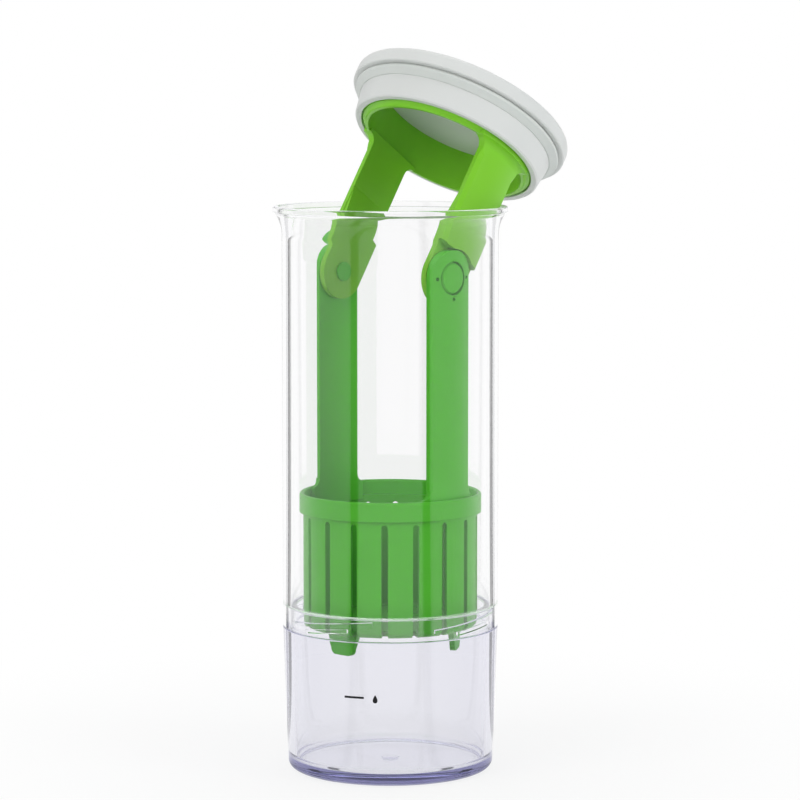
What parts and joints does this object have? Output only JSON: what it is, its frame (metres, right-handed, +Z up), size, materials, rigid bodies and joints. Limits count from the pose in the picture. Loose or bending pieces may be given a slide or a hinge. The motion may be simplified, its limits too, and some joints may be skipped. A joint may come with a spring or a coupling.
{
  "type": "herb keeper",
  "caption": "Clear upright herb keeper: twist-on water reservoir, flared tube, lift-out slotted basket on two uprights and a tilting lid.",
  "frame": {"origin": "on the tube's axis, in the plane of the foot ring that the reservoir stands on", "axes": "+Z up along the tube, Y along the lid's pivot pins, +X towards the side that the lid leans to at rest"},
  "size_m": [0.1535, 0.1128, 0.3471],
  "materials": {
    "clear_plastic": "clear, polished, faintly cool",
    "print": "printed ink",
    "clear_silicone": "translucent, satin",
    "green_plastic": "satin, fine moulded texture",
    "white_plastic": "satin",
    "white_silicone": "matt silicone"
  },
  "bodies": {
    "base": {"reservoir": "clear_plastic", "fill_mark": "print"},
    "seal": {"reservoir_gasket": "clear_silicone"},
    "sleeve": {"tube": "clear_plastic"},
    "insert": {"basket": "green_plastic", "front_pivot_pin": "green_plastic", "rear_pivot_pin": "green_plastic"},
    "lid": {"lid_frame": "green_plastic", "lid_cap": "white_plastic", "lid_seal": "white_silicone"}
  },
  "joints": [
    {"name": "tube_twist", "type": "hinge", "parent": "base", "child": "seal", "pos_m": [0, 0, 0], "axis": [0, 0, 1], "range_deg": [0, 150]},
    {"name": "tube_rise", "type": "slide", "parent": "seal", "child": "sleeve", "axis": [0, 0, 1], "range_m": [0, 0.0125]},
    {"name": "insert_lift", "type": "slide", "parent": "sleeve", "child": "insert", "axis": [0, 0, 1], "range_m": [0, 0.22]},
    {"name": "lid_flip", "type": "hinge", "parent": "insert", "child": "lid", "pos_m": [0, 0, 0.2392], "axis": [0, 1, 0], "range_deg": [-67.1, 0]}
  ],
  "couplings": [
    {"joint": "tube_rise", "follows": "tube_twist", "m_per_rad": 0.0047746}
  ]
}
